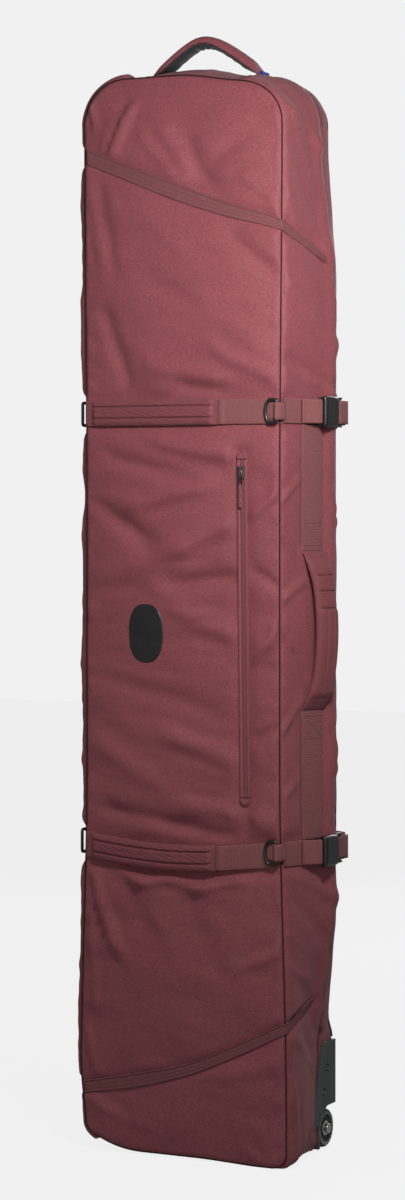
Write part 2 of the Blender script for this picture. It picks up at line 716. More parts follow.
def side_relief(side, y, z):
    """The same for a side wall: 1 is the right side, and -1 the left."""
    edge = y - FRONT
    s = half_width(FRONT, z) + edge
    free = looseness(s if side > 0 else -s, z, edge)
    free = free * (1 - smooth(24, 37, y))
    if side > 0:
        off_haul = outside(y, HAUL_Y0 + 1, HAUL_Y1 - 1)
        beyond_grip = np.maximum(1 - smooth(672, 700, z), smooth(924, 950, z))
        sewn = beyond_grip * smooth(470, 500, z) * (1 - smooth(1120, 1150, z))
        free = free * (1 - sewn * hump(off_haul, 0, 5))
    broad = 1.8 * seeded(y / 60, 5.5 + side, z / 60) + 1.2 * seeded((y + 0.5 * z) / 34, 7.7 * side, z / 90)
    if side > 0:
        folds = fold_heights(SIDE_FOLDS, y, z)
    else:
        folds = 0.3 * fold_heights(SIDE_FOLDS, y, HEIGHT - 40 - z)
    puff = (4 if side > 0 else 10) * (1 - np.exp(-edge / 5)) * hump(edge, 0, 45)
    over_zip = 10 * hump(y, 20, 15) * smooth(150, 240, z) * (1 - 0.6 * smooth(HEIGHT - 90, HEIGHT, z))
    height = free * (1.6 + puff + over_zip + 2.0 * folds + 1.6 * broad + 0.8 * seeded(y / 18, 1.5, z / 22))
    gather = 0.9 if side > 0 else 0.3
    height += gather * np.sin(z / 5.0 + 3 * seeded(y / 50, 9.2, z / 45)) * gathers(edge, free)
    height -= drawn_in(edge, free)
    return height, free


# Creases that run from the feet of the grab handle over the top, in x and y.
TOP_FOLDS = [
    (96, -10, 130, -60, 5, 1.8, 1.0), (92, 6, 120, 34, 5, 1.6, 1.0), (-96, -10, -120, -60, 5, 1.8, 1.0),
    (84, -20, 96, -70, 5, 1.5, 0.9), (-84, -20, -70, -74, 5, 1.5, 0.9), (-94, 8, -110, 34, 5, 1.4, 0.9),
    (20, -30, 30, -80, 8, 1.2, 0.6), (-30, -30, -40, -80, 8, 1.2, 0.6),
]


def top_relief(x, y):
    """The same for the top, which is held round the feet of the grab handle."""
    edge = y - FRONT
    free = (1 - hump(edge, 0, SEAM_HOLD)) * (1 - smooth(16, 24, y))
    off_handle = np.hypot(outside(np.abs(x), 60, 100), outside(y, -20, 20))
    free = free * (1 - hump(off_handle, 0, 8))
    height = free * (1.0 + fold_heights(TOP_FOLDS, x, y) + 1.2 * seeded(x / 50, y / 40, 6.6))
    return height - drawn_in(edge, free), free


def settle_shape(points):
    """The whole bag's slump: the front seam dips to the top right and the left foot corner is lifted."""
    x, y, z = points[..., 0], points[..., 1], points[..., 2]
    front = 1 - smooth(FRONT, FRONT + 75, y)
    dip = 15 * smooth(-10, 120, x) * smooth(1470, HEIGHT, z) * front
    ahead = 1 - smooth(FRONT, FRONT + 130, y)
    lift = (4 * (1 - smooth(20, 150, x)) + 20 * smooth(60, 176, -x) ** 1.6) * (1 - smooth(0, 110, z)) * ahead
    tuck = 9 * smooth(120, 170, -x) * (1 - smooth(15, 150, z)) * ahead
    return xyz(x + tuck, y, z - dip + lift)


SEAM_STEPS = [0, 1.0, 2.2, 3.8, 6, 9, 13, 18, 24, 31]


def spread(length, step):
    """Places from 0 to length, close together near 0, where the seam is."""
    count = max(1, round((length - SEAM_STEPS[-1]) / step))
    return np.concatenate([SEAM_STEPS, np.linspace(SEAM_STEPS[-1], length, count + 1)[1:]])


def shell_mesh(seam_y, rim_y, columns, rows, face_y):
    """A face with rounded corners and the wall round it, which runs from the face's seam to an open rim.
    Gives the points, the faces, which points lie along the seam, the part of the wall that starts at each
    of those, and the number of the wall's first own point."""
    u, z = np.meshgrid(columns, rows)
    x = outline_half(seam_y, z) * u
    points = xyz(x, face_y(x, z), z)
    nr, nc = u.shape
    number = np.arange(nr * nc).reshape(nr, nc)
    faces = grid_faces(nr, nc)
    ring = np.concatenate([number[0, :-1], number[:-1, -1], number[-1, :0:-1], number[:0:-1, 0]])
    kind = np.repeat(["foot", "right", "top", "left"], [nc - 1, nr - 1, nc - 1, nr - 1])
    ring_u, ring_z = u.reshape(-1)[ring], z.reshape(-1)[ring]
    depth = abs(rim_y - seam_y)
    stations = seam_y + math.copysign(1, rim_y - seam_y) * spread(depth, 7)[1:]
    walls = []
    for y in stations:
        half = outline_half(y, ring_z)
        side = np.where(kind == "left", -1, 1)
        px = np.where(kind == "foot", (half_width(y, 0) - FOOT_RADIUS) * ring_u, side * half)
        px = np.where(kind == "top", (half_width(y, HEIGHT) - TOP_RADIUS) * ring_u, px)
        pz = ring_z + np.where(kind == "top", top_crown(px, y), 0)
        walls.append(xyz(px, y, pz))
    count = len(ring)
    start = nr * nc
    for k in range(len(stations)):
        below = ring if k == 0 else start + (k - 1) * count + np.arange(count)
        above = start + k * count + np.arange(count)
        for a, b, c, d in zip(below, np.roll(below, -1), np.roll(above, -1), above):
            faces.append((int(a), int(d), int(c), int(b)))
    all_points = np.concatenate([points.reshape(-1, 3), *walls])
    return all_points, faces, ring, kind, start


def relax_as_cloth(mesh, free, pressure, cap, frames=14):
    """Lets the fabric settle as cloth under a little pressure from inside, held where it isn't free.
    No point moves more than cap, in metres."""
    before = vertex_places(mesh)
    holder = in_scene("cloth_holder", mesh)
    sewn = weighted(holder, "sewn", (1 - np.clip(free, 0, 1)) ** 2, 12)
    cloth = holder.modifiers.new("cloth", "CLOTH")
    settings = cloth.settings
    settings.vertex_group_mass = sewn
    settings.pin_stiffness = 4
    settings.quality = 5
    settings.mass = 0.2
    settings.tension_stiffness = settings.compression_stiffness = 22
    settings.shear_stiffness = 8
    settings.bending_stiffness = 0.8
    settings.use_pressure = True
    settings.uniform_pressure_force = pressure
    settings.effector_weights.gravity = 0
    cloth.collision_settings.use_collision = False
    cloth.point_cache.frame_end = frames
    for step in range(1, frames + 1):
        SCENE.frame_set(step)
    graph = bpy.context.evaluated_depsgraph_get()
    moved = vertex_places(holder.evaluated_get(graph).data) - before
    length = np.linalg.norm(moved, axis=1, keepdims=True)
    moved *= cap * np.tanh(length / cap) / np.maximum(length, 1e-9)
    bpy.data.objects.remove(holder)
    SCENE.frame_set(1)
    move_vertices(mesh, before + moved)


def with_lining(mesh, thickness, materials, lining_at, from_seam):
    """The fabric wall given its thickness, with the lining's material on the inside.
    It thins near the seam, which is from_seam away, so that the lining doesn't come through there."""
    add_materials(mesh, materials)
    holder = in_scene("lining_holder", mesh)
    full = weighted(holder, "full", smooth(0, 2 * thickness, from_seam), 10)
    wall = holder.modifiers.new("wall", "SOLIDIFY")
    wall.thickness = thickness * MM
    wall.offset = -1
    wall.material_offset = lining_at
    wall.vertex_group = full
    wall.thickness_vertex_group = 0.08
    made = evaluated(holder)
    places = vertex_places(made)
    places[:, 2] = np.maximum(places[:, 2], 0)
    move_vertices(made, places)
    return made


# ---------- the lid: front, sides, top and bottom in one sewn shell ----------

HALF_FRONT = 168
LEAST_Z = 0.2
inward = spread(HALF_FRONT, 8.4)
COLUMNS = np.concatenate([-(1 - inward / HALF_FRONT), (1 - inward[-2::-1] / HALF_FRONT)])
arc = HEIGHT - TOP_RADIUS + TOP_RADIUS * np.sin(np.radians(np.linspace(4, 90, 24)))
ROWS = np.concatenate([SEAM_STEPS[:8], np.linspace(24, HEIGHT - TOP_RADIUS, 262), arc])

lid_points, lid_faces, seam_ring, ring_kind, wall_start = shell_mesh(
    FRONT, LID_RIM, COLUMNS, ROWS, front_face)
lid_mesh = make_mesh("lid_shell", lid_points, lid_faces)
out = vertex_normals(lid_mesh)
if out[len(ROWS) // 2 * len(COLUMNS) + len(COLUMNS) // 2][1] > 0:
    lid_mesh.flip_normals()
    out = -out
height = np.zeros(len(lid_points))
free = np.zeros(len(lid_points))
fx, fz = lid_points[:wall_start, 0], lid_points[:wall_start, 2]
height[:wall_start], free[:wall_start] = front_relief(fx, fz)
wall_points = lid_points[wall_start:].reshape(-1, len(seam_ring), 3)
wall_height, wall_free = np.zeros(wall_points.shape[:2]), np.zeros(wall_points.shape[:2])
for name, side in (("right", 1), ("left", -1)):
    at = ring_kind == name
    wall_height[:, at], wall_free[:, at] = side_relief(side, wall_points[:, at, 1], wall_points[:, at, 2])
at = ring_kind == "top"
wall_height[:, at], wall_free[:, at] = top_relief(wall_points[:, at, 0], wall_points[:, at, 1])
at = ring_kind == "foot"
wall_height[:, at] = -0.8 * hump(wall_points[:, at, 1], FRONT, 2.2)
height[wall_start:], free[wall_start:] = wall_height.ravel(), wall_free.ravel()
lid_points = settle_shape(lid_points + out * height[:, None])
lid_points[:, 2] = np.maximum(lid_points[:, 2], LEAST_Z)
move_vertices(lid_mesh, lid_points * MM)
relax_as_cloth(lid_mesh, free, 2.2, 0.006)
settled = vertex_places(lid_mesh) / MM
settled[:, 2] = np.maximum(settled[:, 2], LEAST_Z)
move_vertices(lid_mesh, settled * MM)
SHELL = BVHTree.FromPolygons(settled.tolist(), [tuple(f) for f in lid_faces])
LID_MATERIALS = ["shell_fabric", "lining"]
from_seam = np.concatenate([edge_distance(fx, fz), wall_points[..., 1].ravel() - FRONT])
lid_mesh = with_lining(lid_mesh, 5, LID_MATERIALS, 1, from_seam)
piece(
    "lid_shell", lid_mesh, "lid", LID_MATERIALS, slot="shell_fabric",
    replaces=["front_panel", "side_panel_right", "side_panel_left", "top_panel", "bottom_panel"],
)


def on_front(x, z, out):
    """Points at (x, z) that lie on the settled front, out in front of it."""
    points = []
    for a, b in zip(x.ravel(), z.ravel()):
        hit = SHELL.ray_cast(Vector((a, FRONT - 60, b)), Vector((0, 1, 0)))[0]
        points.append((a, hit.y if hit is not None else front_face(a, b), b))
    points = np.array(points).reshape(*x.shape, 3)
    points[..., 1] -= out
    return points


def seam_welt():
    """The narrow dark fold of cloth at the bottom of the front seam."""
    path = settled[seam_ring]
    path[:, 2] = np.maximum(path[:, 2], 1.4)
    ends = (ring_kind == "top") | (ring_kind == "foot")
    outward = unit(xyz(path[:, 0] * ~ends, 0, (path[:, 2] - HEIGHT / 2) * ends))
    return tube(path + (FORWARD + outward) * 0.5, 1.15, 8, closed=True, side_hint=(0, 1, 0.01))


solid("front_seam", *seam_welt(), "lid", "welt", slot="shell_fabric")

# ---------- the tray: its walls, top, bottom and the black back ----------

BACK_INSET = 1.6
BACK_HALF = 177
TURN_IN = 7.5
WELL_U = WELL_SIDE / 169
beside_well = np.linspace(WELL_U, 1, 7)[1:]
tray_columns = np.concatenate([-beside_well[::-1], np.linspace(-WELL_U, WELL_U, 29), beside_well])
above_well = np.linspace(WELL_TOP, HEIGHT - TOP_RADIUS, 190)[1:]
tray_rows = np.concatenate([np.linspace(0, WELL_TOP, 10), above_well, arc])


def above_housings(z):
    return smooth(OVER_WHEELS, 205, z)


def near_top(z):
    return smooth(HEIGHT - TOP_RADIUS, HEIGHT, z)


def back_face(x, z):
    """The back panel, quilted in wide upright channels and a little hollow towards its edges."""
    channel = np.abs(np.sin(np.pi * (x + 27) / 54)) ** 0.5
    inside = smooth(0, 26, np.minimum(outline_half(BACK, z) - np.abs(x), HEIGHT - z)) * smooth(150, 200, z)
    return BACK - BACK_INSET + inside * (2.4 * channel + 0.6 * seeded(x / 40, 3.3, z / 60))


tray_points, tray_faces, _, _, tray_start = shell_mesh(
    BACK - BACK_INSET, TRAY_RIM, tray_columns, tray_rows, back_face)
side_y, side_z = tray_points[tray_start:, 1], tray_points[tray_start:, 2]
bulge = smooth(0, 14, BACK - side_y) * (1 - smooth(60, 74, BACK + 16 - side_y)) * smooth(190, 240, side_z)
wave = bulge * (2.2 + 1.4 * seeded(side_y / 40, 2.4, side_z / 50))
tray_points[tray_start:, 0] += np.sign(tray_points[tray_start:, 0]) * wave * (side_z < HEIGHT - TOP_RADIUS)

# The back edge is soft: it turns in over its last few centimetres, above the wheel housings.
turned = TURN_IN * smooth(66, BACK, side_y) ** 2
side_in = turned * above_housings(side_z) * (side_z < HEIGHT - 1)
tray_points[tray_start:, 0] -= np.sign(tray_points[tray_start:, 0]) * side_in
tray_points[tray_start:, 2] -= turned * near_top(side_z)
back_x, back_z = tray_points[:tray_start, 0], tray_points[:tray_start, 2]
tray_points[:tray_start, 0] -= back_x / BACK_HALF * TURN_IN * above_housings(back_z)
tray_points[:tray_start, 2] -= TURN_IN * near_top(back_z)


def in_well(face):
    """Whether a face lies in the cut-out for a wheel."""
    spots = tray_points[list(face)]
    return abs(spots[:, 0].mean()) > WELL_SIDE + 0.5 and spots[:, 2].mean() < WELL_TOP


tray_faces = [f for f in tray_faces if not in_well(f)]
used = sorted({i for f in tray_faces for i in f})
renumber = {old: new for new, old in enumerate(used)}
tray_faces = [tuple(renumber[i] for i in f) for f in tray_faces]
tray_points = tray_points[used]


def is_black(face):
    """Whether a face is on the back or the underside."""
    spots = tray_points[list(face)]
    return spots[:, 1].mean() > BACK - 2.5 or spots[:, 2].mean() < 3


kinds = [int(is_black(f)) for f in tray_faces]
tray_mesh = make_mesh("tray_shell", tray_points, tray_faces, kinds)
if vertex_normals(tray_mesh)[renumber[len(tray_columns) * 100 + 20]][1] < 0:
    tray_mesh.flip_normals()
TRAY_MATERIALS = ["shell_fabric", "black_fabric", "lining", "lining"]
tx, ty, tz = tray_points.T
inside_edge = np.minimum(outline_half(BACK, tz) - np.abs(tx), HEIGHT - tz)
from_seam = np.maximum(np.minimum(inside_edge, tz), BACK - BACK_INSET - ty)
tray_mesh = with_lining(tray_mesh, 4.5, TRAY_MATERIALS, 2, from_seam)
piece(
    "tray_shell", tray_mesh, "tray", TRAY_MATERIALS, slot="shell_fabric",
    replaces=["back_panel", "tray_wall_right", "tray_wall_left", "tray_top", "tray_bottom"],
)


def round_path(y, foot, out, step=9):
    """The path up the right side, over the top and down the left side at depth y, and its outward way."""
    up = np.arange(foot, HEIGHT - TOP_RADIUS, step)
    turn = HEIGHT - TOP_RADIUS + TOP_RADIUS * np.sin(np.radians(np.linspace(0, 90, 16)))
    z = np.concatenate([up, turn])
    right = xyz(outline_half(y, z), y, z)
    x = (half_width(y, HEIGHT) - TOP_RADIUS) * np.linspace(1, -1, 30)[1:-1]
    over = xyz(x, y, HEIGHT + top_crown(x, y))
    path = np.concatenate([right, over, right[::-1] * (-1, 1, 1)])
    tangent = unit(np.gradient(path, axis=0))
    outward = xyz(tangent[:, 2], 0, -tangent[:, 0])
    return path + outward * out, outward


piping_path, _ = round_path(BACK - 1.4, OVER_WHEELS, 0.2)
piping_in = TURN_IN * above_housings(piping_path[:, 2])
piping_path[:, 0] -= np.sign(piping_path[:, 0]) * piping_in * (np.abs(piping_path[:, 0]) > 100)
piping_path[:, 2] -= TURN_IN * near_top(piping_path[:, 2])
piping = tube(piping_path, 2.0, 10, side_hint=BACKWARD)
solid("back_piping", *piping, "tray", "black_fabric", slot="black_fabric")

# ---------- the main zip ----------


def zip_tape(y0, y1):
    """One half's tape, between two depths."""
    depths = np.linspace(y0, y1, 6)
    inner = np.array([round_path(y, ZIP_FOOT, GAP)[0] for y in depths])
    outer = np.array([round_path(y, ZIP_FOOT, GAP + TAPE)[0] for y in depths])
    return slab(outer, inner)


def zip_coil(side):
    """One half's coil: small hooked teeth, every other one from each tape."""
    path, outward = round_path(ZIP_Y, ZIP_FOOT, GAP + TAPE + 0.5, 2.6)
    lengths = distances(path)
    places = np.arange(1.3 * (side > 0), lengths[-1], 2.6)
    spot = sampled(path, lengths, places)
    normal = unit(sampled(outward, lengths, places))
    along = unit(np.gradient(spot, axis=0))
    across = BACKWARD * (np.array([-2.9, -0.6, 0.55]) * -side)[:, None]
    half = np.array([0.5, 0.5, 0.75])[:, None]
    rise = np.array([0.25, 0.6, 0.35])[:, None]
    faces = [(0, 1, 7, 6), (1, 2, 8, 7), (3, 6, 7, 4), (4, 7, 8, 5), (0, 6, 3), (2, 5, 8)]
    faces += [(0, 3, 4, 1), (1, 4, 5, 2)]
    parts = []
    for p, n, t in zip(spot, normal, along):
        foot = p + across - n * 0.35
        parts.append((np.concatenate([foot + t * half, foot - t * half, p + across + n * rise]), faces))
    return merged(parts)


def rim_binding(y, radius, foot):
    """The rolled edge of the right wall's rim, from its foot to where the zip starts."""
    z = np.linspace(foot, ZIP_FOOT - 1, 40)
    return tube(xyz(outline_half(y, z) + 0.2, y, z), radius, 8, side_hint=BACKWARD)


for body, y0, y1 in (("lid", LID_RIM - TAPE_WIDTH, LID_RIM), ("tray", TRAY_RIM, TRAY_RIM + TAPE_WIDTH)):
    node = "zip_tape_" + body
    solid(node + "_cloth", *zip_tape(y0, y1), body, "zip_tape", replaces=[node], slot="zip_tape")
for body, side in (("lid", -1), ("tray", 1)):
    solid("zip_coil_" + body, *zip_coil(side), body, "coil_plastic", slot="zip_tape")
for body, y, radius, foot in (("lid", 38.4, 1.4, 2), ("tray", 41.8, 1.2, 170)):
    solid("rim_binding_" + body, *rim_binding(y, radius, foot), body, "band_tape", slot="shell_fabric")

# ---------- the fabric hinge down the left side ----------

hy, hz = np.meshgrid(np.linspace(30, 50, 15), np.arange(OVER_WHEELS, HEIGHT - TOP_RADIUS - 4, 8.0))
hinge_out = 0.9 * (1 - ((hy - 40) / 10) ** 2)
hinge_outer = xyz(-(half_width(hy, hz) + GAP + TAPE + 0.4 + hinge_out), hy, hz)
hinge_inner = hinge_outer + 1.1 * RIGHTWARD
hinge = solid("hinge_fold", *slab(hinge_outer, hinge_inner), None, "shell_fabric", slot="shell_fabric")
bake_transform(hinge)

# ---------- stitches ----------


def stitches(path, normal, length=2.6, pitch=3.9, radius=0.34, lift=0.15):
    """A row of small rounded stitches along a path; normal is one direction or one for each point."""
    lengths = distances(path)
    normals = np.broadcast_to(normal, path.shape)
    parts = []
    for start in np.arange(0.4, lengths[-1] - length, pitch):
        at = start + length * np.array([0, 0.15, 0.5, 0.85, 1])
        spot = sampled(path, lengths, at)
        up = unit(sampled(normals, lengths, at))
        spot = spot + up * (lift * np.array([-1.2, 0.4, 1, 0.4, -1.2]))[:, None]
        parts.append(tube(spot, radius * np.array([0.5, 0.9, 1, 0.9, 0.5]), 6, side_hint=up[2]))
    return merged(parts)


def stitched(name, rows, body, material="thread", slot="shell_fabric"):
    """Rows of stitches as one piece. A row is what stitches takes, in the same order."""
    solid(name, *merged([stitches(*row) for row in rows]), body, material, slot=slot)


# ---------- sewn bands across the front and side ----------


def wrap(s, z, out):
    """A point at distance s round the lid from the middle: over the front, then back along the side."""
    edge = half_width(FRONT, z)
    y = np.where(np.abs(s) <= edge, front_face(np.clip(s, -edge, edge), z) - out, FRONT + np.abs(s) - edge)
    x = np.where(np.abs(s) <= edge, s, np.sign(s) * (half_width(np.maximum(y, FRONT), z) + out))
    near = hump(np.abs(s), edge, 2.2) * out * 0.75
    x = x + np.sign(s) * near * (np.abs(s) <= edge)
    y = y - near * (np.abs(s) > edge)
    return xyz(x, y, z)


def band(name, edges, first, last):
    """A doubled tape with raised lines along it, its upper edge rolled over."""
    round_seam = np.arange(160, 174, 1.0)
    s = np.concatenate([np.arange(first, 160, 4.0), round_seam, np.arange(174, last, 4.0), [last]])
    v = np.linspace(0, 1, 33)
    high, low = through(edges[0], s), through(edges[1], s)
    ss, vv = np.meshgrid(s, v, indexing="ij")
    z = mix(low[:, None], high[:, None], vv)
    lines = 0.5 * np.abs(np.sin(np.pi * 4.0 * vv)) ** 0.6
    roll = 0.8 * hump(vv, 0.94, 0.05) - 0.9 * hump(vv, 0.84, 0.035)
    ends = smooth(-0.001, 0.06, vv) * smooth(-0.001, 0.03, 1 - vv)
    thick = 0.7 + ends * (1.5 + lines + roll)
    outer, inner = wrap(ss, z, GAP + thick), wrap(ss, z, GAP)
    solid(name + "_tape", *slab(outer, inner), "lid", "band_tape", replaces=[name], slot="shell_fabric")
    rows = []
    for share in (0.1, 0.84):
        path = wrap(s, mix(low, high, share), GAP + 2.0)
        normal = np.where((np.abs(s) < 166)[:, None], FORWARD, RIGHTWARD)
        rows.append((path, normal, 2.4, 3.6, 0.28))
    stitched(name + "_stitches", rows, "lid")


band("band_upper", UPPER_BAND, -165, 276)
band("band_lower", LOWER_BAND, -168, 280)

# ---------- the straps ----------

RIB = 3.5


def ribs(run):
    """The height of webbing's crosswise ribs at distance run along it."""
    return 0.38 * np.sqrt(0.5 + 0.5 * np.cos(2 * np.pi * run / RIB))


def strap_slab(surface, run, width, thick=WEBBING):
    """Ribbed webbing. surface(run, across, out) gives its points; run and across are distances."""
    across = np.array([-1, -0.97, -0.9, -0.6, -0.2, 0.2, 0.6, 0.9, 0.97, 1]) * width / 2
    r, a = np.meshgrid(run, across, indexing="ij")
    edge = np.sqrt(np.clip(1 - (np.abs(a) / (width / 2)) ** 24, 0, 1))
    outer = surface(r, a, 0.5 + (thick - 0.9) * edge + ribs(r) * edge)
    return slab(outer, surface(r, a, 0 * r))


def fine_run(start, end):
    """Places from start to end, seven to each rib."""
    return np.linspace(start, end, max(3, round(abs(end - start) / RIB * 7) + 1))


def webbing(node, parts, body):
    """Ribbed webbing in the place of a CAD node."""
    solid(node + "_ribbed", *merged(parts), body, "webbing", replaces=[node], slot="webbing")


def strap_pad(which):
    """The padded sleeve: three stuffed channels between sewn lines, closed by a tab at the seam."""
    s = np.unique(np.concatenate([np.arange(PAD_LEFT, PAD_END, 2.5), [PAD_END - 3, PAD_END - 1.5, PAD_END]]))
    v = np.linspace(-PAD_HALF, PAD_HALF, 49)
    ss, vv = np.meshgrid(s, v, indexing="ij")
    z = strap_height(which, ss) + vv
    body = np.sqrt(np.clip(1 - (vv / PAD_HALF) ** 4, 0, 1))
    inside = smooth(PAD_LEFT + 12, PAD_LEFT + 18, ss) * (1 - smooth(PAD_END - 9, PAD_END - 5, ss))
    grooves = sum(hump(vv, line, 1.5) for line in PAD_LINES)
    lobes = 0.8 * seeded(ss / 26, 2.0 if which == "upper" else 5.0, vv / 9) + 0.3 * np.sin(ss / 3.1 + vv)
    swell = 3.0 + 1.6 * body + inside * (4.6 * body - 3.4 * grooves + lobes * (1 - grooves) * body)
    swell = np.where(np.abs(vv) > PAD_HALF - 0.6, 1.4, swell)
    base = front_face(ss, z) - GAP - strap_stand(which, ss)
    outer = xyz(ss, base - swell, z)
    inner = xyz(ss, base, z)
    node = "strap_pad_" + which
    part = slab(outer, inner)
    pad = solid(node + "_sleeve", *part, "lid", "pad_fabric", replaces=[node], slot="shell_fabric")
    rows = []
    line = np.arange(PAD_LEFT + 16, PAD_END - 7, 3.0)
    for level in PAD_LINES:
        z = strap_height(which, line) + level
        stuffed = 2.0 + 4.4 * math.sqrt(1 - (level / PAD_HALF) ** 4)
        y = front_face(line, z) - GAP - strap_stand(which, line) - stuffed
        rows.append((xyz(line, y, z), FORWARD, 2.6, 3.8, 0.34))
    for x in (PAD_LEFT + 4, PAD_LEFT + 12, PAD_END - 4):
        levels = np.linspace(-17, 17, 12)
        z = strap_height(which, x) + levels
        y = front_face(x, z) - GAP - strap_stand(which, x) - 0.1 - 4.7 * np.sqrt(1 - (levels / PAD_HALF) ** 4)
        rows.append((xyz(x, y, z), FORWARD, 2.4, 3.6, 0.34))
    stitched(node + "_stitches", rows, "lid")


def front_webbing(which):
    """From the pad's end to the seam."""
    def surface(s, a, out):
        z = strap_height(which, s) + a
        fold = 1.8 * hump(s - PAD_END, 7, 5)
        return xyz(s, front_face(s, z) - GAP - strap_stand(which, s) - out - (out > 0) * fold, z)

    part = strap_slab(surface, fine_run(PAD_END + GAP, SEAM_X), 2 * STRAP_HALF)
    webbing("strap_webbing_" + which, [part], "lid")


def side_webbing(which):
    """From the seam to the buckle's female half, where it is doubled back on itself."""
    z0 = MIDDLE[which]

    def lift(y):
        return mix(half_width(y, z0) + 4 * GAP, BUCKLE_X + 5, smooth(-52, -21, y))

    def surface(y, a, out):
        return xyz(lift(y) + out, y, z0 + a)

    def doubled(y, a, out):
        return surface(y, a, out + 1.9 * (out > 0) + 1.7)

    node = "side_webbing_" + which
    part = strap_slab(surface, fine_run(FRONT + 6, -24.8), 2 * STRAP_HALF)
    loop = strap_slab(doubled, fine_run(-50, -26), 36, 1.6)
    webbing(node, [part, loop], "lid")
    levels = z0 + np.linspace(-17.5, 17.5, 12)
    rows = []
    for y in (-50.5, -46.5, -84.5):
        rows.append((xyz(lift(y) + (4.4 if y > -50 else 2.2), y, levels), RIGHTWARD, 2.4, 3.5, 0.36))
    stitched(node + "_stitches", rows, "lid", "welt", "webbing")


def softened(line):
    """A line with its corners rounded off a little."""
    for _ in range(3):
        line[1:-1] = (line[:-2] + 2 * line[1:-1] + line[2:]) / 4
    return line


def ribbon_slab(run, width, thick, z0):
    """Webbing that bends: its middle line is a run of (x, y) points, and its width is up and down."""
    lengths = distances(run)
    places = fine_run(0, lengths[-1])
    line = softened(sampled(run, lengths, places))
    tangent = unit(np.gradient(line, axis=0))
    normal = np.stack([tangent[:, 1], -tangent[:, 0]], -1)
    ii, aa = np.meshgrid(np.arange(len(places)), np.linspace(-width / 2, width / 2, 7), indexing="ij")

    def face(out):
        spot = line[ii] + normal[ii] * out[..., None]
        return xyz(spot[..., 0], spot[..., 1], z0 + aa)

    rise = thick / 2 + 0.42 * ribs(places)[ii]
    return slab(face(rise), face(-thick / 2 + 0 * rise))


def back_strap(which):
    """From the buckle's male half round the corner, sewn to the back."""
    z0 = MIDDLE[which]
    x = BUCKLE_X - 0.2
    run = [(x, 46.7), (x, 60), (x, 76), (x - 2, 82), (184, 92.6), (180, 95), (176, 95.1), (140, 95.1)]
    node = "rear_strap_" + which
    webbing(node, [ribbon_slab(run, 2 * STRAP_HALF, 1.2, z0)], "tray")
    levels = z0 + np.linspace(-17, 17, 12)
    rows = [(xyz(x, 95.9, levels), BACKWARD, 2.4, 3.6, 0.34) for x in (143, 147)]
    stitched(node + "_stitches", rows, "tray", "welt", "webbing")


def buckle_cover(z0):
    """The domed pad on the outside of the female half, thicker towards the release end."""
    start, end = -27, 16.5
    y, a = np.meshgrid(np.linspace(start, end, 26), np.linspace(-1, 1, 24), indexing="ij")
    inset = np.minimum(1, np.minimum(y - start, end - y) / 5)
    dome = np.sqrt(np.clip(inset * (2 - inset) * (1 - a**6), 0, 1))
    x = BUCKLE_X + 13.2 + dome * (3.0 + 2.6 * (y - start) / (end - start))
    z = z0 + a * (22.5 + 1.5 * np.cos(np.pi * (y + 5) / 44))
    return slab(xyz(x, y, z), xyz(BUCKLE_X + 8, y, z))


def buckle(which):
    """Both halves of a side-release buckle, and the webbing's tail through the male one."""
    z0 = MIDDLE[which]
    female = "buckle_female_" + which
    refined(female, "lid", "buckle_plastic", 1.7, "buckle_plastic", 4, [buckle_cover(z0)])
    male = "buckle_male_" + which
    x = BUCKLE_X + 2
    knob = tube([(x + 1, 34, z0 - 22), (x + 1, 34, z0 - 25.5)], 2.6, 12, side_hint=BACKWARD)
    refined(male, male, "buckle_plastic", 0.9, "buckle_plastic", 3, [knob])
    run = [(x + 7.6, 66), (x + 7.6, 42), (x + 6.8, 39.2), (x + 3.5, 38.4)]
    run += [(x + 0.4, 39), (x - 0.6, 41.5), (x - 0.6, 49)]
    webbing("buckle_tail_" + which, [ribbon_slab(run, 36, 1.2, z0)], male)


for which in ("upper", "lower"):
    strap_pad(which)
    front_webbing(which)
    side_webbing(which)
    back_strap(which)
    buckle(which)

# ---------- D-rings ----------


def d_ring(name, centre, turned):
    """A round rod bent to a D: a straight bar and a bow, which points back if turned and left if not."""
    half, straight, rod = 17.5, 10.5, 2.5
    bar = [(0, t) for t in np.linspace(-half + 3, half - 3, 8)]
    angles = np.linspace(math.pi / 2, -math.pi / 2, 40)[1:-1]
    bow = [(-straight - 8 * math.cos(a), half * math.sin(a)) for a in angles]
    path = np.array(bar + [(-1.2, half - 0.6), (-3.5, half)] + bow + [(-3.5, -half), (-1.2, -half + 0.6)])
    across, up = path.T
    points = xyz(0, -across, up) if turned else xyz(across, 0, up)
    part = tube(points + centre, rod, 14, closed=True, side_hint=RIGHTWARD if turned else BACKWARD)
    solid(name + "_rod", *part, name, "buckle_plastic", replaces=[name], slot="buckle_plastic")


def ring_keeper(which, middle):
    """A short loop of webbing that holds the ring's straight bar at the seam."""
    y = middle.y
    run = [(150, y + 3.4), (157, y + 2.6), (160.5, y - 1.5), (163.5, y - 3.9), (167, y - 2), (169.6, y + 3)]
    run += [(170.4, -89), (171, -80)]
    part = ribbon_slab(run, 26, 1.1, middle.z)
    solid("ring_keeper_" + which, *part, "lid", "webbing", slot="webbing")


for which in ("upper", "lower"):
    for side in ("right", "left"):
        name = f"d_ring_{side}_{which}"
        low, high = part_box(name)
        middle = (low + high) / 2 / MM
        if side == "right":
            d_ring(name, np.array([SEAM_X - 0.5, middle.y, middle.z]), False)
            ring_keeper(which, middle)
        else:
            d_ring(name, np.array([middle.x, -84, middle.z]), True)

# ---------- the side haul handle and its webbing ----------

HAUL_Y = (HAUL_Y0 + HAUL_Y1) / 2
TACKS = (709, 846, 872, 896, 922)


def haul_stand(z):
    """How far the haul handle stands off the side."""
    t = np.clip((z - HAUL_LOW) / (HAUL_HIGH - HAUL_LOW), 0, 1)
    return 22 * np.sin(np.pi * t) ** 0.6


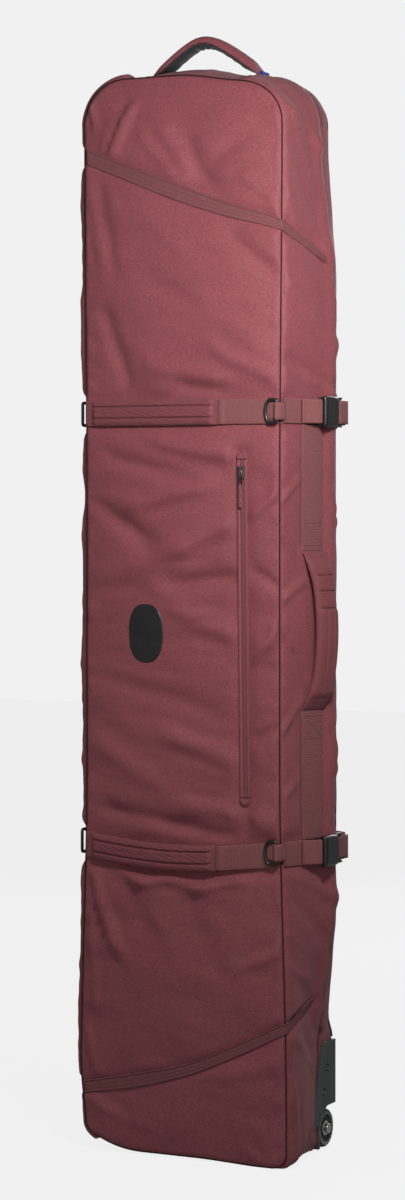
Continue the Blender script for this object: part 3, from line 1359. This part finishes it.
def haul_handle():
    """Above, doubled webbing with bar tacks; below, a padded sleeve with two grooves."""
    z = np.unique(np.concatenate([np.arange(HAUL_LOW, HAUL_HIGH, 1.1), [HAUL_HIGH]]))
    u = np.linspace(-1, 1, 41)
    zz, uu = np.meshgrid(z, u, indexing="ij")
    from_end = np.minimum(zz - HAUL_LOW, HAUL_HIGH - zz)
    y = HAUL_Y + uu * (22.5 - 3.5 * smooth(15, 60, from_end))
    ends = smooth(0, 30, from_end)
    rounded = np.sqrt(np.clip(1 - uu**4, 0, 1))
    padded = (1 - smooth(838, 846, zz)) * smooth(704, 716, zz)
    groove = hump(uu, 0.3, 0.07) + hump(uu, -0.36, 0.07)
    flat = ribs(zz) * (1 - padded) * 1.2
    tacks = sum(hump(zz, level, 1.6) for level in (708, *TACKS[1:]))
    depth = mix(2.4, 13 * (0.52 + 0.42 * rounded) - 1.8 * (1 - padded), ends)
    outer_out = depth - 1.7 * groove * padded * ends + flat - 1.3 * tacks * ends * rounded
    base = half_width(y, zz) + GAP + haul_stand(zz)
    outer = xyz(base + np.maximum(outer_out, 1.8) - 0.8 * (1 - rounded), y, zz)
    part = slab(outer, xyz(base + 1.6 * (1 - rounded) * ends, y, zz))
    grip = solid(
        "haul_handle_grip", *part, "lid", "pad_fabric", replaces=["haul_handle"], slot="shell_fabric")
    rows = []
    y = np.linspace(-42, -9, 12)
    for level in TACKS:
        thick = 12.6 * min(1, (HAUL_HIGH - level) / 30, (level - HAUL_LOW) / 26)
        x = half_width(y, level) + GAP + haul_stand(level) + thick - 2.4
        rows.append((xyz(x, y, level), RIGHTWARD, 2.2, 3.0, 0.4))
    stitched("haul_handle_stitches", rows, "lid", "welt")


def haul_webbing(place, low, high, tack):
    """Webbing sewn flat to the side, with a crossed box of stitches round the height tack."""
    def surface(z, a, out):
        return xyz(half_width(HAUL_Y + a, z) + 3 * GAP + out, HAUL_Y + a, z)

    node = "haul_webbing_" + place
    webbing(node, [strap_slab(surface, fine_run(low, high), 43)], "lid")
    rows = []
    for z0, z1 in ((-17, 17), (17, -17), (17, 17), (-17, -17)):
        a = np.linspace(HAUL_Y0 + 4, HAUL_Y1 - 4, 12) - HAUL_Y
        rows.append((surface(np.linspace(tack + z0, tack + z1, 12), a, 2.2), RIGHTWARD, 2.6, 3.6, 0.36))
    for a in (-19.5, 19.5):
        rows.append((surface(np.arange(low + 3, high - 2, 4.0), a, 1.9), RIGHTWARD, 2.6, 3.8, 0.3))
    stitched(node + "_stitches", rows, "lid", "thread", "webbing")


haul_handle()
haul_webbing("upper", HAUL_HIGH + GAP, UPPER_Z - STRAP_HALF - 1, 958)
haul_webbing("lower", LOWER_Z + STRAP_HALF + 1, HAUL_LOW - GAP, 664)

# ---------- the grab handle on top ----------


def grab_handle():
    """A strip rolled round its padding, burgundy outside and black underneath, bent to a soft point."""
    half, peak = 94, -4
    x = np.linspace(-half, half, 141)
    t = np.where(x < peak, (peak - x) / (half + peak), (x - peak) / (half - peak))
    lift = 1 - (np.sqrt(t * t + 0.09) - 0.3) / (1.09**0.5 - 0.3)
    middle = softened(xyz(x, 0, mix(HEIGHT + 4.5, HEIGHT + 62.4, lift**0.92)))
    tangent = unit(np.gradient(middle, axis=0))
    normal = xyz(-tangent[:, 2], 0, tangent[:, 0])
    sides = 36
    turn = np.linspace(0, 2 * np.pi, sides, endpoint=False)
    rolled = smooth(0.0, 0.30, lift)[:, None]
    width = mix(20.5, 17.0, rolled)
    thick = mix(2.6, 8.9, rolled)
    c, s = np.cos(turn)[None], np.sin(turn)[None]
    pucker = 1.5 * hump(x, peak, 24)[:, None] * np.sin(x / 1.9)[:, None] * np.clip(-s, 0, 1) ** 0.5
    pucker += 0.4 * np.sin(x / 2.3)[:, None] * np.clip(-s, 0, 1) * rolled
    across = width * np.sign(c) * np.abs(c) ** 0.75
    out = thick * np.sign(s) * np.abs(s) ** 0.85 + pucker
    points = middle[:, None] + normal[:, None] * out[..., None]
    points[..., 1] += across
    bag_top = HEIGHT + top_crown(points[..., 0], points[..., 1]) + GAP
    points[..., 2] = np.maximum(points[..., 2], bag_top)
    faces = grid_faces(len(x), sides, close_cols=True) + end_faces(len(x), sides)
    underneath = np.sin(turn + np.pi / sides) < -0.25
    kinds = np.append(np.tile(underneath, len(x) - 1), [False, False])
    roll = solid(
        "grab_handle_roll", points.reshape(-1, 3), faces, "lid", ["shell_fabric", "black_fabric"], kinds,
        replaces=["grab_handle"], slot="shell_fabric",
    )
    rows = []
    for side in (-1, 1):
        path = middle - normal * thick * 0.35 + side * BACKWARD * width
        rows.append((path[12:-12], side * BACKWARD, 2.6, 3.8, 0.32))
    for x0 in (-88, -80, 80, 88):
        y = np.linspace(-16, 16, 11)
        k = int(np.argmin(np.abs(x - x0)))
        rows.append((xyz(x0, y, middle[k, 2] + thick[k, 0] * 0.96), UPWARD, 2.4, 3.4, 0.36))
    stitched("grab_handle_stitches", rows, "lid")


def grab_tab():
    """A small folded tab beside the handle's right foot."""
    low, high = (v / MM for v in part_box("grab_tab"))
    left = [(low.x + 0.8, low.z), (low.x + 0.6, high.z - 2), (low.x + 1.6, high.z - 0.7)]
    right = [(high.x - 1.2, high.z - 0.7), (high.x - 0.7, high.z - 2), (high.x - 0.8, low.z)]
    line = np.array(left + right)
    tangent = unit(np.gradient(line, axis=0))
    normal = np.stack([-tangent[:, 1], tangent[:, 0]], -1)
    k, y = np.meshgrid(np.arange(len(line)), np.linspace(low.y, high.y, 9), indexing="ij")

    def face(out):
        spot = line[k] + normal[k] * out
        return xyz(spot[..., 0], y, spot[..., 1])

    part = slab(face(0.6), face(-0.6))
    solid("grab_tab_fold", *part, "lid", "blue_tab", replaces=["grab_tab"], slot="blue_tab")


grab_handle()
grab_tab()

# ---------- the front pocket zip ----------


def pocket_x(z):
    """Where the pocket zip runs: it leans a little."""
    return mix(110, 104, (z - POCKET_FOOT) / (POCKET_TOP - POCKET_FOOT))


def pocket_welts():
    """Two folded lips of shell fabric with the covered coil between them."""
    z = np.arange(POCKET_FOOT + 13, POCKET_TOP - 12.9, 3.0)
    v = np.linspace(-9, 9, 37)
    zz, vv = np.meshgrid(z, v, indexing="ij")
    x = pocket_x(zz) + vv
    lips = 1.3 * hump(np.abs(vv), 6.0, 2.3) - 0.8 * hump(np.abs(vv), 2.9, 0.7)
    coil = 0.5 * hump(vv, 0, 1.5) * (0.6 + 0.4 * np.cos(zz / 0.8))
    edge = smooth(0, 1.2, 9.01 - np.abs(vv))
    out = 0.35 + edge * (0.7 + lips + coil)
    base = front_face(x, zz) - GAP
    points, faces = slab(xyz(x, base - out, zz), xyz(x, base, zz))
    covered_coil = np.tile(np.abs(v[:-1] + 0.25) < 3.2, len(z) - 1)
    kinds = np.append(covered_coil, np.zeros(len(faces) - len(covered_coil), bool))
    solid(
        "pocket_zip_welts", points, faces, "lid", ["shell_fabric", "zip_tape"], kinds,
        replaces=["pocket_zip"], slot="zip_tape",
    )
    rows = []
    for off in (-7.8, 7.8):
        x = pocket_x(z) + off
        rows.append((xyz(x, front_face(x, z) - GAP - 1.7, z), FORWARD, 2.2, 3.3, 0.28))
    stitched("pocket_zip_stitches", rows, "lid", "welt")


def pocket_cap(name, centre, up):
    """An oval cap over one end of the pocket zip. Gives the row of stitches round it."""
    u, rise = np.meshgrid(np.linspace(-1, 1, 25), np.linspace(0, 12, 15))
    half = 9.5 * np.sqrt(np.maximum(0.06, 1 - (rise / 13) ** 2))
    z = centre + up * rise
    x = pocket_x(z) + half * u
    dome = 1 - np.maximum(np.abs(u), rise / 12) ** 6
    base = front_face(x, z) - GAP
    part = slab(xyz(x, base - 0.5 - 1.9 * dome, z), xyz(x, base, z))
    solid(name + "_oval", *part, "lid", "shell_fabric", replaces=[name], slot="shell_fabric")
    a = np.linspace(-0.1, math.pi + 0.1, 22)
    x = pocket_x(centre) + 8.1 * np.cos(a)
    z = centre + up * 10.4 * np.sin(a)
    return xyz(x, front_face(x, z) - GAP - 2.2, z), FORWARD, 1.8, 2.7, 0.28


def pocket_pull():
    """A wire loop with a cord of two twisted strands that ends in a knot."""
    low, high = (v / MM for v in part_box("pocket_pull"))
    x0, y0 = (low.x + high.x) / 2, (low.y + high.y) / 2
    bend = [(-2.4, 25), (-2.4, 3), (-1.4, 0.9), (1.4, 0.9), (2.4, 3), (2.4, 25)]
    loop = tube([(x0 + across, y0, high.z - down) for across, down in bend], 1.1, 8, side_hint=BACKWARD)
    parts = [loop]
    z = np.linspace(high.z - 22, low.z + 3.5, 60)
    for phase in (0, math.pi):
        sway = 1.35 * np.sin(z / 1.9 + phase)
        lean = 0.6 * np.cos(z / 1.9 + phase)
        parts.append(tube(xyz(x0 + sway, y0 + lean, z), 1.8, 8, side_hint=BACKWARD))
    knot = xyz(x0, y0, np.linspace(low.z, low.z + 6, 9))
    parts.append(tube(knot, 2.7 * np.sin(np.linspace(0.5, 2.7, 9)), 12, side_hint=BACKWARD))
    points, faces = merged(parts)
    kinds = [0] * len(loop[1]) + [1] * (len(faces) - len(loop[1]))
    solid(
        "pocket_pull_cord", points, faces, "pocket_pull", ["dark_steel", "webbing"], kinds,
        replaces=["pocket_pull"], slot="steel",
    )


pocket_welts()
cap_rows = [pocket_cap("pocket_cap_top", 1072.3, 1), pocket_cap("pocket_cap_bottom", 557.7, -1)]
stitched("pocket_cap_stitches", cap_rows, "lid", "welt")
refined("pocket_slider", "pocket_slider", "dark_steel", 0.7, "steel")
pocket_pull()

# ---------- the plain printed emblem ----------


def emblem():
    """A thin squarish oval that follows the settled front."""
    shares = np.array([0.02, 0.25, 0.5, 0.7, 0.86, 0.96, 1.0])
    turn, share = np.meshgrid(np.linspace(0, 2 * np.pi, 64, endpoint=False), shares, indexing="ij")
    c, s = np.cos(turn), np.sin(turn)
    x = -56 + 30 * share * np.sign(c) * np.abs(c) ** 0.8
    z = 805 + 45 * share * np.sign(s) * np.abs(s) ** 0.8
    outer, inner = on_front(x, z, np.where(share > 0.98, 0.45, 0.75)), on_front(x, z, 0.15)
    rows, cols = x.shape
    size = x.size
    faces = grid_faces(rows, cols, close_rows=True) + grid_faces(rows, cols, size, close_rows=True)
    rim = np.arange(rows) * cols + cols - 1
    for a, b in zip(rim.tolist(), np.roll(rim, -1).tolist()):
        faces.append((a, b, size + b, size + a))
    for start in (0, size):
        faces.append(tuple(start + j * cols for j in range(rows)))
    points = np.concatenate([outer.reshape(-1, 3), inner.reshape(-1, 3)])
    solid("emblem_oval", points, faces, "lid", "emblem_print", replaces=["emblem"], slot="emblem_print")


emblem()

# ---------- wheels, axles and housings ----------


def wheel(side):
    """A turned wheel with rounded shoulders, a ring of plain dashes, a recessed hub and its bearing."""
    name = "wheel_right" if side > 0 else "wheel_left"
    half = [(5, 1), (11, 1), (11.6, 1.6), (11.8, 3), (19, 3), (20, 2.6), (21.5, 0.8), (22.5, 0.6), (26, 0.6)]
    half += [(27.5, 1.1), (28.9, 2.6), (29.7, 4.6), (30, 7)]
    profile = half + [(30, 12.5)] + [(r, 25 - a) for r, a in reversed(half)]
    r, a = np.array(profile).T
    sides = 72
    turn = np.linspace(0, 2 * np.pi, sides, endpoint=False)
    points = xyz(side * (140 + a[:, None]), 82 + r[:, None] * np.cos(turn), 30 + r[:, None] * np.sin(turn))
    faces = grid_faces(len(r), sides, close_rows=True, close_cols=True)
    kinds = []
    for r0, r1, depth in zip(r, np.roll(r, -1), a):
        bearing = max(r0, r1) < 11.7
        ring = 21 < min(r0, r1) and max(r0, r1) < 26.5 and depth > 20
        kinds += [2 if bearing else 1 if ring and i % 3 < 2 else 0 for i in range(sides)]
    solid(
        name + "_turned", points.reshape(-1, 3), faces, name, ["wheel_rubber", "wheel_mark", "steel"], kinds,
        replaces=[name], slot="wheel_rubber",
    )


for side, name in ((1, "right"), (-1, "left")):
    wheel(side)
    refined("axle_" + name, "tray", "steel", 0.8, "steel")
    refined("wheel_housing_" + name, "tray", "housing_plastic", 1.6, "housing_plastic", 4)
    for level in ("upper", "lower"):
        refined(f"housing_bolt_{name}_{level}", "tray", "dark_steel", 0.4, "steel")

# ---------- sliders, and what is inside ----------


def soft_edged(node, material, width):
    """A CAD solid kept as it is, with its own look and its edges a little rounded."""
    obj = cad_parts[node]
    obj.data.materials.clear()
    obj.data.materials.append(MATERIALS[material])
    rounder = obj.modifiers.new("soft_edge", "BEVEL")
    rounder.width = width * MM
    rounder.segments = 2
    rounder.limit_method = "ANGLE"


for which in ("upper", "lower"):
    for part, width in (("slider", 0.8), ("pull", 0.35)):
        name = f"zip_{part}_{which}"
        refined(name, name, "buckle_plastic", width, "buckle_plastic")
    soft_edged("tie_strap_" + which, "black_fabric", 0.7)
soft_edged("back_board", "board", 1)
